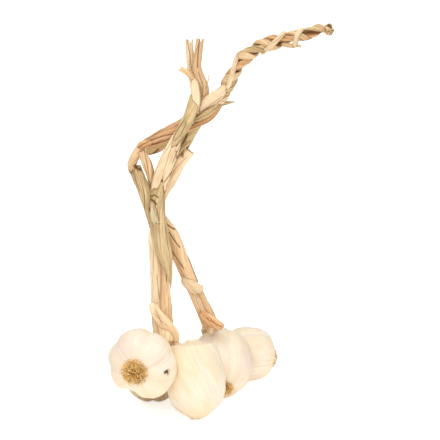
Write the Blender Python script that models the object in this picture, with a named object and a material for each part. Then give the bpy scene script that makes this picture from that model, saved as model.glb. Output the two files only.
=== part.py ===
"""A garlic braid: five garlic heads, standing in a cluster, whose dried stalks twist together above them.

The heads are lobed turned shapes and every stalk strand is a loft along its own route. Lengths below are in
millimetres and become metres in solid(). The front is -Y, +Z is up, and the floor is Z = 0.
"""

import math
from collections import namedtuple
from functools import partial

import bmesh
import bpy
from mathutils import Matrix, Vector
from mathutils.bvhtree import BVHTree
from mathutils.noise import noise

MILLIMETRE = 0.001
GAP = 0.3  # clear space between pieces that touch
FLAT_DEPTH = 0.45  # how far a head is worn flat where it stands on the floor
FLOOR_SIDE = 400.0
FLOOR_DEPTH = 60.0

HEAD_SIDES = 20
STRAND_SIDES = 8
STRAND_STEP = 11.0  # length of stalk between two sections
ROOT_SIDES = 10

# A head's turned outline from its root plate to its neck: distance out as a share of the radius, and
# height as a share of the half height.
HEAD_OUTLINE = (
    (0.05, -0.84),
    (0.28, -0.92),
    (0.56, -0.92),
    (0.82, -0.70),
    (0.97, -0.32),
    (1.00, 0.10),
    (0.92, 0.48),
    (0.73, 0.76),
    (0.47, 0.94),
    (0.28, 1.10),
    (0.19, 1.34),
)
SHOULDER_HEIGHT = 0.76  # where a head starts to draw in to its neck, as a share of the half height
BELLY_HEIGHT = -0.30  # where it starts to draw in to its root plate
LOBED_TO = 0.87  # the cloves stop showing this far up the outline
LOBE_SPREAD = 0.5  # a lower number carries the cloves further towards the root plate and the neck
CLOVE_FULLNESS = 4  # a higher number gives fuller cloves with narrower grooves between them

# A root tuft's outline from its edge to its tip: distance out as a share of its radius, and height along
# the head's axis as a share of its own height.
ROOT_OUTLINE = ((0.85, 0.35), (1.0, 0.0), (0.92, -0.45), (0.62, -0.85), (0.20, -1.0))
ROOT_RAGGED = 0.22  # how far the tuft strays from that outline

REACH = 0.001  # how far along a route, as a share of it, its direction is measured
END_ON = 0.35  # a strand that runs nearer to the front view's line than this takes its width level instead
CREASE_ANGLE = 50.0
SKIN_ROUGHNESS = 0.55
LEAF_ROUGHNESS = 0.75
ROOT_ROUGHNESS = 0.9

# neck is how much of the full neck a head has, and point is how far its root end draws in. Cloves are
# (angle in degrees where the clove starts, radius in the groove there, radius over the clove's middle).
Head = namedtuple("Head", "name centre axis radius half_height neck point cloves swirl stands")
Roots = namedtuple("Roots", "name head radius height along seed")
Strand = namedtuple("Strand", "name colour width depth route")

WHITE_SKIN = (0.86, 0.78, 0.62)
SHADED_SKIN = (0.74, 0.62, 0.42)
ROOT_GOLD = (0.55, 0.33, 0.13)
STRAW = (0.80, 0.60, 0.36)
PALE_STRAW = (0.86, 0.72, 0.50)
OLIVE_STRAW = (0.58, 0.44, 0.20)
RUSSET_STRAW = (0.66, 0.39, 0.17)

HEADS = (
    Head(
        "head_front",
        centre=(-20.5, -33.0, 33.0),
        axis=(-0.08, 0.30, 0.95),
        radius=25.0,
        half_height=35.5,
        neck=0.22,
        point=0.80,
        cloves=((20, 0.95, 1.01), (95, 0.97, 1.02), (165, 0.95, 1.01), (240, 0.97, 1.02), (300, 0.95, 1.01)),
        swirl=28.0,
        stands=True,
    ),
    Head(
        "head_left",
        centre=(-64.0, -47.0, 49.5),
        axis=(0.26, 0.966, 0.0),
        radius=27.6,
        half_height=21.0,
        neck=1.0,
        point=0.0,
        cloves=(
            (-22, 0.98, 1.09), (90, 0.79, 0.80), (114, 0.80, 0.96), (178, 0.94, 1.04), (220, 0.98, 1.07),
            (285, 0.96, 1.02),
        ),
        swirl=6.0,
        stands=False,
    ),
    Head(
        "head_right",
        centre=(0.5, 14.0, 27.0),
        axis=(0.03, 0.85, 0.52),
        radius=26.0,
        half_height=27.5,
        neck=0.9,
        point=0.0,
        cloves=((28, 0.87, 1.04), (95, 0.90, 1.02), (150, 0.92, 1.02), (215, 0.92, 1.03), (285, 0.90, 1.04)),
        swirl=12.0,
        stands=True,
    ),
    Head(
        "head_back_left",
        centre=(-56.0, 2.0, 24.0),
        axis=(0.22, -0.70, 0.68),
        radius=25.0,
        half_height=22.5,
        neck=0.9,
        point=0.0,
        cloves=((-88, 0.86, 1.02), (-15, 0.92, 1.02), (50, 0.90, 1.02), (120, 0.92, 1.00), (195, 0.90, 1.03)),
        swirl=10.0,
        stands=True,
    ),
    Head(
        "head_far_right",
        centre=(23.5, 49.0, 23.5),
        axis=(-0.93, -0.25, 0.25),
        radius=24.0,
        half_height=21.5,
        neck=1.0,
        point=0.0,
        cloves=((30, 0.94, 1.03), (105, 0.90, 1.02), (170, 0.93, 1.02), (240, 0.94, 1.02), (310, 0.90, 1.02)),
        swirl=10.0,
        stands=True,
    ),
)

# The tuft of dried roots on each head's root plate; along is how far its middle lies from the head's centre.
ROOTS = (
    Roots("roots_left", "head_left", radius=10.8, height=6.5, along=17.5, seed=3.0),
    Roots("roots_right", "head_right", radius=9.5, height=6.0, along=23.5, seed=11.0),
    Roots("roots_far_right", "head_far_right", radius=9.0, height=5.5, along=18.0, seed=19.0),
    Roots("roots_back_left", "head_back_left", radius=9.0, height=5.5, along=19.5, seed=27.0),
)

# Each strand's width lies across the front view and its depth along it, at its lower end, middle and upper
# end. A strand gives way to the ones listed before it.
STRANDS = (
    # The left stalk, which joins the two left heads and the front one.
    Strand("left_wrap_leaf", PALE_STRAW, (6, 10, 7), (4, 5, 4),
           ((-36, -11, 55.5), (-37.5, -11.5, 63.5), (-42, -13.5, 70), (-48, -15, 77), (-53.5, -14, 84),
            (-55.5, -10, 90))),
    Strand("left_sheath", PALE_STRAW, (10, 10.5, 9), (8, 8, 6),
           ((-42.5, -17, 57), (-45.5, -12, 66), (-48.5, -10, 73.5))),
    Strand("trunk", OLIVE_STRAW, (5, 14.5, 11.5), (4, 9, 8),
           ((-40.5, -11, 102), (-41, -12, 113.5), (-43.5, -12, 126), (-48, -10, 145), (-50.5, -7, 163),
            (-50.5, -5, 180), (-48, -4, 195.5))),
    Strand("left_stalk_outer", PALE_STRAW, (7, 8.5, 6.5), (8, 8, 6),
           ((-51.5, -9, 61.5), (-53, -8, 84.5), (-53, -7, 107), (-54, -6, 128), (-56, -5, 151))),
    Strand("left_stalk_inner", STRAW, (13, 10, 8), (10, 9, 7),
           ((-44, -5, 56), (-45, -4, 75.5), (-46, -2, 97.5), (-48.5, 1, 120), (-51.5, 4, 148))),
    Strand("front_head_neck", PALE_STRAW, (9, 8, 6), (9, 8, 6),
           ((-23, -19, 50), (-31, -13, 50.5), (-38, -9, 54), (-43, -3, 63))),
    Strand("left_head_neck", PALE_STRAW, (10, 10, 8), (9, 9, 8),
           ((-57.5, -26, 50), (-54.5, -18, 52.5), (-49.5, -10, 59.5), (-47.5, -4, 69))),
    # The right stalk, which joins the two right heads.
    Strand("right_base_wrap", RUSSET_STRAW, (6, 10, 6), (4, 5, 4),
           ((2.5, 2, 64), (-3.5, -3, 69), (-10, -4, 74), (-16, -1, 78))),
    Strand("right_mid_wrap", PALE_STRAW, (8, 12, 8), (4, 5, 4),
           ((-15, 3, 97.5), (-18.5, -3.5, 99.5), (-26, -4.5, 104), (-31, 2, 108))),
    Strand("right_stub", PALE_STRAW, (5.5, 5, 4), (5, 5, 4), ((-8.5, 1, 59), (-7.5, 0, 65), (-6.5, 0, 70))),
    Strand("right_upper", STRAW, (7.5, 11.5, 5), (6, 9, 5),
           ((-20.5, 0, 102.5), (-27, -1, 115.5), (-33, -1, 130), (-39, 0, 146), (-43.5, 2, 161))),
    Strand("right_stalk_outer", STRAW, (8, 7, 5.5), (9, 8, 6),
           ((-2, 9, 56.5), (-7.5, 7, 72), (-13.5, 6.5, 86), (-19, 6.5, 96.5), (-24.5, 6, 106.5))),
    Strand("right_stalk_inner", STRAW, (8.5, 7, 6), (9, 8, 6),
           ((-8.5, 6, 58.5), (-15, 3, 76), (-20.5, 3, 89.5), (-31, 7, 111.5), (-40, 9, 133), (-49, 9, 167))),
    Strand("right_back_neck", PALE_STRAW, (10, 8.5, 7), (10, 9, 8),
           ((1.5, 45.5, 30.5), (-7, 43, 40), (-12, 34, 50), (-10, 22, 61), (-9, 14, 75))),
    Strand("right_head_neck", PALE_STRAW, (11, 9, 7), (11, 9, 7),
           ((1.5, 34.5, 39), (-2, 30, 49), (-5, 20, 58), (-7, 11, 69))),
    # The open loop on the left, above the crossing of the two stalks.
    Strand("loop_knot", RUSSET_STRAW, (4, 6.5, 3.5), (4, 5, 4),
           ((-66, -10, 221.5), (-63, -12, 225), (-59, -12, 226), (-55, -11, 227.5))),
    Strand("loop_outer_low", OLIVE_STRAW, (5.5, 8, 10), (5, 7, 8),
           ((-53.5, -2, 148), (-59, -3, 167), (-63.5, -4, 184), (-71, -4, 202.5))),
    Strand("loop_outer_high", STRAW, (7.5, 7.5, 8), (7, 7, 7),
           ((-70.5, -3, 202.5), (-70, -4, 209.5), (-66, -5, 217.5), (-61.5, -6, 225))),
    Strand("branch_left", PALE_STRAW, (7.5, 8, 4.5), (7, 7, 5),
           ((-53.5, -9, 186), (-51, -10.5, 196.5), (-46, -11, 209.5), (-41, -10.5, 222), (-37, -7, 231))),
    Strand("branch_middle", PALE_STRAW, (5.5, 8, 5), (6, 6, 5),
           ((-47, -8, 188.5), (-43, -11, 202.5), (-39, -12, 214), (-34.5, -10, 227.5))),
    Strand("branch_stub", PALE_STRAW, (5.5, 9, 9.5), (7, 8, 7),
           ((-44, 0, 179), (-39.5, 0, 192), (-33, -1, 205.5), (-24.5, -2, 217.5))),
    Strand("loop_inner", STRAW, (5, 8, 6.5), (5, 6, 5),
           ((-55, 3, 182.5), (-56.5, -3, 196.5), (-60.5, -8, 210.5), (-64, -9, 219.5))),
    # The upper crossing.
    Strand("upper_olive", OLIVE_STRAW, (5.5, 9.5, 9.5), (6, 8, 8),
           ((-39, -6, 223), (-32.5, -10, 234), (-26.5, -13, 245), (-22.5, -12, 254.5), (-19.5, -11, 261))),
    Strand("band_russet", RUSSET_STRAW, (6.5, 10.5, 7), (6, 8, 6),
           ((-63, -6, 223), (-55, -8.5, 227.5), (-44, -9, 233.5), (-31.5, -5.5, 240.5), (-24, -1, 245.5))),
    Strand("band_under", OLIVE_STRAW, (7.5, 9, 5), (5, 6, 5),
           ((-60, 1, 215.5), (-52.5, 2.5, 218.5), (-43.5, 4, 223.5), (-35.5, 6, 228))),
    Strand("band_pale", PALE_STRAW, (5.5, 11, 7.5), (5, 7, 6),
           ((-24, -3, 244.5), (-15.5, -7.5, 254), (-6, -9, 262), (1, -8, 268), (5.5, -5, 273))),
    Strand("strand_tan", OLIVE_STRAW, (3.5, 5.5, 4), (4, 5, 4),
           ((-24, -9, 243.5), (-14.5, -10.5, 248), (-6, -10, 253.5), (1, -6, 260.5))),
    Strand("strand_russet", RUSSET_STRAW, (3.5, 6, 4), (5, 6, 5),
           ((-27.5, -5, 235), (-16.5, -6, 241.5), (-6.5, -6, 248.5), (1, -3, 257.5))),
    Strand("wedge", OLIVE_STRAW, (6, 10, 6), (5, 6, 5),
           ((-31, -1, 219), (-25, -2, 229.5), (-16.5, -1, 240))),
    Strand("spike_leaf", OLIVE_STRAW, (4.5, 3.2, 1.6), (3, 2.5, 1.5),
           ((-2, -1, 255.5), (5, -1, 257), (13, -2, 258.5))),
    # The cut stubs that stand up beside the tail.
    Strand("stub_left", PALE_STRAW, (8, 7.5, 7.5), (7, 6, 5),
           ((-19, -11, 262), (-20.5, -9.5, 273.5), (-23, -5, 290), (-24, -6, 300.5), (-24.5, -6, 311))),
    Strand("stub_right", STRAW, (6.5, 8.5, 7.5), (6, 6, 6),
           ((-13, -3, 262.5), (-13, -5, 272), (-18.5, -11, 288), (-18, -10, 299.5), (-16.5, -8, 313))),
    Strand("stub_twig", STRAW, (5, 5, 4.5), (5, 4.5, 4),
           ((-21, -9, 279.5), (-25.5, -11.5, 284.5), (-32, -12, 288.5))),
)

# The tail is a rope of three strands laid round one route.
TAIL_NAME = "tail_strand"
TAIL_COLOUR = STRAW
TAIL_STRANDS = 3
TAIL_RADIUS = (6.0, 6.7, 4.7)  # of the whole rope, at its lower end, middle and tip
TAIL_LAY = 33.0  # length of one full turn
TAIL_PHASE = 25.0
TAIL_STEP = 6.5
TAIL_ROUTE = (
    (-2, -5, 259),
    (4.5, -5, 269.5),
    (9.5, -4.5, 281),
    (16, -4, 291.5),
    (25, -3, 300),
    (36, -2, 305),
    (49, -0.5, 308.5),
    (66.5, 0, 313.5),
    (79, 0.5, 317),
    (91, 1, 319),
)
# In a rope of three round strands, each strand's own radius and its distance from the rope's middle.
STRAND_SHARE = 0.385
LAY_SHARE = 0.55


def start_empty():
    """Removes whatever the scene holds, and returns new collections for the braid and its cutters."""
    for thing in list(bpy.data.objects):
        bpy.data.objects.remove(thing, do_unlink=True)
    made = []
    for name in ("garlic_braid", "cutters"):
        made.append(bpy.data.collections.new(name))
        bpy.context.scene.collection.children.link(made[-1])
    return made


def smooth(points, place):
    """The point at place (0 to 1) on a Catmull-Rom curve through points, which are tuples of any length."""
    spans = len(points) - 1
    span = min(int(place * spans), spans - 1)
    t = place * spans - span
    before, start, end, after = (points[min(max(span + i, 0), spans)] for i in (-1, 0, 1, 2))
    return tuple(
        0.5 * (2 * b + (c - a) * t + (2 * a - 5 * b + 4 * c - d) * t**2 + (3 * b - a - 3 * c + d) * t**3)
        for a, b, c, d in zip(before, start, end, after)
    )


def frame_along(axis, across=(1.0, 0.0, 0.0)):
    """A rotation whose Z is axis and whose X is as near across as it can be."""
    z = Vector(axis).normalized()
    x = Vector(across)
    x = (x - z * x.dot(z)).normalized()
    return Matrix((x, z.cross(x), z)).transposed()


def head_profile(head, place):
    """Distance out and height on a head's outline, as shares of its sizes, from place 0 at its root plate
    to 1 at its neck."""
    out, height = smooth(HEAD_OUTLINE, place)
    if height > SHOULDER_HEIGHT:
        height = SHOULDER_HEIGHT + (height - SHOULDER_HEIGHT) * head.neck
    if height < BELLY_HEIGHT:
        out *= 1 - head.point * ((BELLY_HEIGHT - height) / (1 + BELLY_HEIGHT)) ** 2
    return out, height


def clove_radius(cloves, angle):
    """How far out the skin lies at angle, as a share of the head's radius. Each clove swells between two
    grooves."""
    for this, following in zip(cloves, cloves[1:] + ((cloves[0][0] + 360, *cloves[0][1:]),)):
        share = ((angle - this[0]) % 360) / (following[0] - this[0])
        if share < 1:
            groove = this[1] + (following[1] - this[1]) * share
            return groove + (this[2] - groove) * (1 - abs(2 * share - 1) ** CLOVE_FULLNESS)
    return 1.0


def head_section(head, place, grow):
    """One lobed ring round a head, at place 0 (root plate) to 1 (neck), from the head's centre."""
    out, height = head_profile(head, place)
    lobed = math.sin(math.pi * place / LOBED_TO) ** LOBE_SPREAD if place < LOBED_TO else 0.0
    turn = frame_along(head.axis)
    ring = []
    for side in range(HEAD_SIDES):
        angle = 360.0 * side / HEAD_SIDES
        clove = clove_radius(head.cloves, angle + head.swirl * height)
        radius = head.radius * out * (1 + (clove - 1) * lobed) + grow
        x, y = radius * math.cos(math.radians(angle)), radius * math.sin(math.radians(angle))
        ring.append(turn @ Vector((x, y, height * (head.half_height + grow))))
    return ring


def head_sections(head, grow=0.0):
    count = len(HEAD_OUTLINE) - 1
    return [head_section(head, i / count, grow) for i in range(count + 1)]


def head_centre(head):
    """Where a head's centre is: one that stands is set down until it sinks FLAT_DEPTH into the floor."""
    centre = Vector(head.centre)
    if head.stands:
        centre.z = -FLAT_DEPTH - min(point.z for ring in head_sections(head) for point in ring)
    return centre


def head_rings(head, grow=0.0):
    centre = head_centre(head)
    return [[point + centre for point in ring] for ring in head_sections(head, grow)]


def roots_rings(roots, grow=0.0):
    """An uneven dome on the head's root plate, whose edge sinks into the head."""
    head = next(head for head in HEADS if head.name == roots.head)
    turn = frame_along(head.axis)
    middle = head_centre(head) - Vector(head.axis).normalized() * roots.along
    rings = []
    for out, rise in ROOT_OUTLINE:
        ring = []
        for side in range(ROOT_SIDES):
            angle = 2 * math.pi * side / ROOT_SIDES
            ragged = 1 + ROOT_RAGGED * noise((math.cos(angle) + roots.seed, math.sin(angle), rise))
            radius = roots.radius * out * ragged + grow
            flat = (radius * math.cos(angle), radius * math.sin(angle), roots.height * rise * ragged)
            ring.append(middle + turn @ Vector(flat))
        rings.append(ring)
    return rings[::-1]


def route_length(route):
    return sum((Vector(b) - Vector(a)).length for a, b in zip(route, route[1:]))


def direction(route, place):
    ahead = Vector(smooth(route, min(1, place + REACH)))
    behind = Vector(smooth(route, max(0, place - REACH)))
    return (ahead - behind).normalized()


def oval_ring(middle, along, width, depth, sides):
    """An oval section across along, with its width lying across the front view."""
    front = Vector((0.0, 1.0, 0.0))
    across = along.cross(front)
    if across.length < END_ON:
        across = along.cross(Vector((0.0, 0.0, 1.0)))
    across.normalize()
    deep = across.cross(along).normalized()
    ring = []
    for side in range(sides):
        angle = 2 * math.pi * (side + 0.5) / sides
        ring.append(middle + across * (width / 2 * math.cos(angle)) + deep * (depth / 2 * math.sin(angle)))
    return ring


def strand_rings(strand, grow=0.0):
    """The oval sections of one strand along its route."""
    count = max(3, round(route_length(strand.route) / STRAND_STEP))
    rings = []
    for i in range(count + 1):
        place = i / count
        middle = Vector(smooth(strand.route, place))
        along = direction(strand.route, place)
        sizes = [(value,) for value in strand.width], [(value,) for value in strand.depth]
        width, depth = (smooth(size, place)[0] + 2 * grow for size in sizes)
        rings.append(oval_ring(middle, along, width, depth, STRAND_SIDES))
    return rings


def tail_rings(number, grow=0.0):
    """One strand of the tail's rope, winding round the rope's route."""
    length = route_length(TAIL_ROUTE)
    count = round(length / TAIL_STEP)
    middles = []
    for i in range(count + 1):
        place = i / count
        centre = Vector(smooth(TAIL_ROUTE, place))
        turn = frame_along(direction(TAIL_ROUTE, place), across=(0.0, -1.0, 0.0))
        angle = math.radians(TAIL_PHASE + 360 * (number / TAIL_STRANDS + place * length / TAIL_LAY))
        radius = smooth([(value,) for value in TAIL_RADIUS], place)[0]
        spoke = Vector((math.cos(angle), math.sin(angle), 0)) * radius * LAY_SHARE
        middles.append((centre + turn @ spoke, radius))
    rings = []
    for i, (middle, radius) in enumerate(middles):
        along = middles[min(i + 1, count)][0] - middles[max(i - 1, 0)][0]
        across = 2 * (radius * STRAND_SHARE + grow)
        rings.append(oval_ring(middle, along.normalized(), across, across, STRAND_SIDES))
    return rings


def solid(name, rings, collection):
    """Skins a row of rings into one closed body, in metres."""
    shape = bmesh.new()
    rows = [[shape.verts.new(point * MILLIMETRE) for point in ring] for ring in rings]
    for low, high in zip(rows, rows[1:]):
        for i in range(len(low)):
            j = (i + 1) % len(low)
            shape.faces.new((low[i], low[j], high[j], high[i]))
    shape.faces.new(rows[0][::-1])
    shape.faces.new(rows[-1])
    bmesh.ops.triangulate(shape, faces=shape.faces)
    bmesh.ops.recalc_face_normals(shape, faces=shape.faces)
    mesh = bpy.data.meshes.new(name)
    shape.to_mesh(mesh)
    shape.free()
    made = bpy.data.objects.new(name, mesh)
    collection.objects.link(made)
    return made


def floor_cutter(collection):
    """A slab whose top is the floor, which wears the standing heads flat."""
    half = FLOOR_SIDE / 2
    corners = [Vector((x, y, 0)) for x, y in ((-half, -half), (half, -half), (half, half), (-half, half))]
    low = [corner - Vector((0, 0, FLOOR_DEPTH)) for corner in corners]
    return hide_cutter(solid("floor", [low, corners], collection))


def hide_cutter(cutter):
    cutter.hide_render = True
    cutter.display_type = "WIRE"
    return cutter


def finish(piece, colour, roughness):
    """Gives a piece its own material and smooth shading."""
    material = bpy.data.materials.new(piece.name)
    material.use_nodes = True
    shader = material.node_tree.nodes["Principled BSDF"]
    shader.inputs["Base Color"].default_value = (*colour, 1.0)
    shader.inputs["Roughness"].default_value = roughness
    shader.inputs["Metallic"].default_value = 0.0
    piece.data.materials.append(material)
    piece.data.shade_smooth()
    piece.data.set_sharp_from_angle(angle=math.radians(CREASE_ANGLE))


def surface_of(thing):
    """A search tree of the thing's faces."""
    shape = bmesh.new()
    shape.from_mesh(thing.data)
    tree = BVHTree.FromBMesh(shape)
    shape.free()
    return tree


def cut_clear(piece, cutters):
    """Cuts away what would run into the cutters, and keeps the largest body that is left."""
    surface = surface_of(piece)
    near = [cutter for cutter in cutters if surface.overlap(surface_of(cutter))]
    if not near:
        return
    for cutter in near:
        cut = piece.modifiers.new(cutter.name, "BOOLEAN")
        cut.operation = "DIFFERENCE"
        cut.object = cutter
    graph = bpy.context.evaluated_depsgraph_get()
    whole = bpy.data.meshes.new_from_object(piece.evaluated_get(graph))
    piece.modifiers.clear()
    whole.name = piece.name
    keep_largest(whole)
    piece.data = whole


def keep_largest(mesh):
    """Drops every loose scrap of a mesh but its largest body."""
    shape = bmesh.new()
    shape.from_mesh(mesh)
    bodies = []
    waiting = set(shape.verts)
    while waiting:
        body = {waiting.pop()}
        edge_of_body = list(body)
        while edge_of_body:
            nearby = {edge.other_vert(vert) for vert in edge_of_body for edge in vert.link_edges}
            edge_of_body = list(nearby - body)
            body |= nearby
        waiting -= body
        bodies.append(body)
    bodies.sort(key=spread)
    for body in bodies[:-1]:
        bmesh.ops.delete(shape, geom=list(body), context="VERTS")
    shape.to_mesh(mesh)
    shape.free()


def spread(body):
    """How large a body is: the product of its extents."""
    sizes = [max(v.co[i] for v in body) - min(v.co[i] for v in body) for i in range(3)]
    return sizes[0] * sizes[1] * sizes[2]


def planned_pieces():
    """Each piece's name, colour, roughness and the function that gives its rings, first the ones that keep
    their whole shape where two meet."""
    for head in HEADS:
        colour = SHADED_SKIN if head.name == "head_back_left" else WHITE_SKIN
        yield head.name, colour, SKIN_ROUGHNESS, partial(head_rings, head)
    for strand in STRANDS:
        yield strand.name, strand.colour, LEAF_ROUGHNESS, partial(strand_rings, strand)
    for number in range(TAIL_STRANDS):
        yield f"{TAIL_NAME}_{number + 1}", TAIL_COLOUR, LEAF_ROUGHNESS, partial(tail_rings, number)
    for roots in ROOTS:
        yield roots.name, ROOT_GOLD, ROOT_ROUGHNESS, partial(roots_rings, roots)


def build_braid():
    braid, cutters = start_empty()
    placed = [floor_cutter(cutters)]
    for name, colour, roughness, rings in planned_pieces():
        piece = solid(name, rings(), braid)
        cut_clear(piece, placed)
        finish(piece, colour, roughness)
        placed.append(hide_cutter(solid(f"{name}_clear", rings(grow=GAP), cutters)))


build_braid()
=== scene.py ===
"""The looks of a garlic braid: papery heads with dried roots, and a twisted braid of dried, fibrous leaves.

Lengths here are in millimetres and become metres in mesh_piece(). The front is -Y. Each piece carries two
values at every point for its finish: "wear", whose three numbers the finish reads and which hold painted
shade in creases, seams and under the heads as well as tints, and "grain", a place in the piece's own space,
along which its fibres and veins run.
"""

import math
import random
from collections import namedtuple

import bpy
import numpy as np
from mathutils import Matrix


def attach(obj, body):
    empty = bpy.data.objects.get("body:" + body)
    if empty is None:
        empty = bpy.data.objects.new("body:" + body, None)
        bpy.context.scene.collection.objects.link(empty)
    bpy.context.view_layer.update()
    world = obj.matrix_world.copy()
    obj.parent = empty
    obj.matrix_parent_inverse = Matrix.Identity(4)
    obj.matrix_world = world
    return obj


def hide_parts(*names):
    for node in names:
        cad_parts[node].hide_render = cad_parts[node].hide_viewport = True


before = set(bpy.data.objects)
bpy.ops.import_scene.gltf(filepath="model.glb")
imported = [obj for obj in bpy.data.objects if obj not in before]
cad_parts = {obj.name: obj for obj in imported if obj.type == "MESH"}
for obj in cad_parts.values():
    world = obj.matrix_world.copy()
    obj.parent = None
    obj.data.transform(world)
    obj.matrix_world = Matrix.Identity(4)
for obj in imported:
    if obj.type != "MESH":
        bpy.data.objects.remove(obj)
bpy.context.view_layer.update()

MILLIMETRE = 0.001
TURN = 2 * math.pi

# ---------------------------------------------------------------- the heads

HEAD_ROWS = 130
HEAD_SIDES = 240
HEAD_OUTLINE = (
    (0.05, -0.84),
    (0.28, -0.92),
    (0.56, -0.92),
    (0.82, -0.70),
    (0.97, -0.32),
    (1.00, 0.10),
    (0.92, 0.48),
    (0.73, 0.76),
    (0.47, 0.94),
    (0.28, 1.10),
    (0.19, 1.34),
)
SHOULDER_HEIGHT = 0.76  # above this the neck starts, as a share of half the height
BELLY_HEIGHT = -0.30  # below this a pointed head draws in
LOBED_TO = 0.87  # the cloves show up to this share of the outline
LOBE_SPREAD = 0.5
CLOVE_FULLNESS = 4.0  # a higher power gives a flatter clove with narrower grooves
GROOVE_SHARPNESS = 14
SOFTENED = 5  # the places to either side over which a groove's edge is eased
FLAT_DEPTH = 0.45  # how far a standing head is cut flat
RIBS = 38
FINE_RIBS = 91
PLEATS = 17

# The axis runs from the roots to the neck. neck is how much of the neck is kept, and point how far the
# root end draws in. Each clove is (the angle of its groove in degrees, how far out its groove and its
# middle lie, as shares of the radius). swirl turns the cloves, in degrees for each half of the height.
# Each blush and gold is (direction from the head's centre, how wide it spreads in radians, how strong).
# The golds that face down are painted shade on the undersides as well as a gold tint, and the back left
# head's dark gold is painted shade on its lower front.
Head = namedtuple(
    "Head", "name centre axis radius half_height neck point cloves swirl stands veins blushes golds"
)
HEADS = (
    Head("head_front", (-20.5, -33.0, 33.0), (-0.08, 0.30, 0.95), 24.8, 35.5, 0.22, 0.76,
         ((20, 0.95, 1.01), (95, 0.97, 1.02), (165, 0.95, 1.01), (240, 0.97, 1.02), (300, 0.95, 1.01)),
         40.0, True, 0.8,
         (),
         (((-0.9, -0.5, 0.5), 0.8, 0.9), ((0.1, -0.6, -0.8), 0.5, 0.6), ((0.0, -0.1, 1.0), 0.5, 0.4))),
    Head("head_left", (-64.0, -47.0, 49.5), (0.26, 0.966, 0.0), 27.1, 21.0, 1.0, 0.0,
         ((-22, 0.97, 1.11), (90, 0.77, 0.79), (114, 0.79, 0.97), (178, 0.93, 1.05), (220, 0.97, 1.09),
          (285, 0.95, 1.02)),
         6.0, False, 0.6,
         (((-0.7, -0.6, 0.6), 0.55, 0.8), ((0.35, -0.8, 0.35), 0.4, 0.5), ((0.0, -0.5, 0.9), 0.3, 0.3)),
         (((-0.9, -0.4, -0.2), 0.5, 0.4), ((0.2, -0.5, -0.9), 0.7, 0.5))),
    Head("head_right", (0.5, 14.0, 27.0), (0.03, 0.85, 0.52), 26.0, 27.5, 0.9, 0.0,
         ((28, 0.86, 1.05), (95, 0.90, 1.02), (150, 0.92, 1.02), (215, 0.92, 1.03), (285, 0.90, 1.04)),
         12.0, True, 1.0,
         (((0.9, -0.4, 0.35), 0.45, 1.0), ((0.95, -0.35, -0.35), 0.35, 0.9),
          ((0.5, -0.8, 0.1), 0.4, 0.5)),
         (((-0.2, -0.9, -0.3), 0.6, 0.6), ((0.4, -0.3, -0.9), 0.6, 0.8))),
    Head("head_back_left", (-56.0, 2.0, 24.0), (0.22, -0.70, 0.68), 25.0, 22.5, 0.9, 0.0,
         ((-88, 0.86, 1.02), (-15, 0.92, 1.02), (50, 0.90, 1.02), (120, 0.92, 1.00), (195, 0.90, 1.03)),
         10.0, True, 0.7,
         (((-0.8, 0.5, 0.3), 0.5, 0.6),),
         (((0.1, -0.75, -0.65), 0.95, 1.0),)),
    Head("head_far_right", (23.5, 49.0, 23.5), (-0.93, -0.25, 0.25), 23.2, 21.5, 1.0, 0.0,
         ((30, 0.94, 1.03), (105, 0.90, 1.02), (170, 0.93, 1.02), (240, 0.94, 1.02), (310, 0.90, 1.02)),
         10.0, True, 0.7,
         (((0.4, 0.8, 0.3), 0.5, 0.6),),
         (((0.9, -0.4, -0.3), 0.4, 0.6), ((0.0, -0.5, -0.9), 0.6, 0.5))),
)

# A worm hole and the short dry creases on the left head. Where dark is over 1 the mark is near black,
# painted shade inside the hole, and otherwise it is tan.
NICKS_FROM = 3.0  # in front of the head's centre, so that its back stays whole
Nick = namedtuple("Nick", "line half_width dark deep")
NICKS = {
    "head_left": (
        Nick(((-43.0, -62.0, 49.2), (-41.4, -62.0, 49.6)), 2.0, 2.0, 1.8),
        Nick(((-41.6, -62.0, 49.0), (-41.2, -62.0, 47.2)), 1.5, 1.6, 1.2),
        Nick(((-42.0, -62.0, 48.9), (-41.4, -62.0, 48.7)), 4.2, 0.55, 0.2),
        Nick(((-87.8, -63.0, 73.2), (-81.4, -63.0, 67.4), (-74.2, -63.0, 60.7)), 0.9, 0.45, 0.4),
        Nick(((-60.3, -66.0, 53.1), (-52.3, -66.0, 56.5), (-44.2, -66.0, 61.5)), 0.9, 0.45, 0.4),
        Nick(((-89.6, -62.0, 48.1), (-79.2, -62.0, 47.3)), 0.9, 0.45, 0.4),
    ),
}

# ---------------------------------------------------------------- the braid

SIDES = 72
STEP = 0.8  # between the rows of a leaf
FEWEST_ROWS = 12
GRAIN_SHIFT = 50  # between one leaf's fibres and the next one's
TUCK_LENGTH = 3.0  # over which a tucked end rounds off
LEAST_TUCK = 0.02
POINT_REACH = 0.4  # the share of its length over which a pointed end narrows
LEAST_POINT = 0.04
HEAD_ON = 0.35  # where a route runs this nearly into the view, its width lies level
OPEN_ENDS = ("cut", "notched", "torn")
RIM_ROWS = 9  # rows that a ragged rim pulls along with it
HIGHEST_TATTER = 0.3  # how far a rim may stand past the end of its route
RIM_INSIDE = ((0.86, 0.2), (0.74, 1.6), (0.55, 3.2), (0.12, 3.6))  # the share of the rim, and how far in
RIM_SHADE = (0.25, 0.9, 1.0, 1.0)
# The dark line painted where two strands touch, as contact shade: its width and darkness.
CONTACT_SHADE_WIDTH = 0.55
CONTACT_SHADE_DARKNESS = 0.85
MARK_DEPTH_AT = 4.0  # from the middle of a leaf, where a mark is as deep as it says

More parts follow.
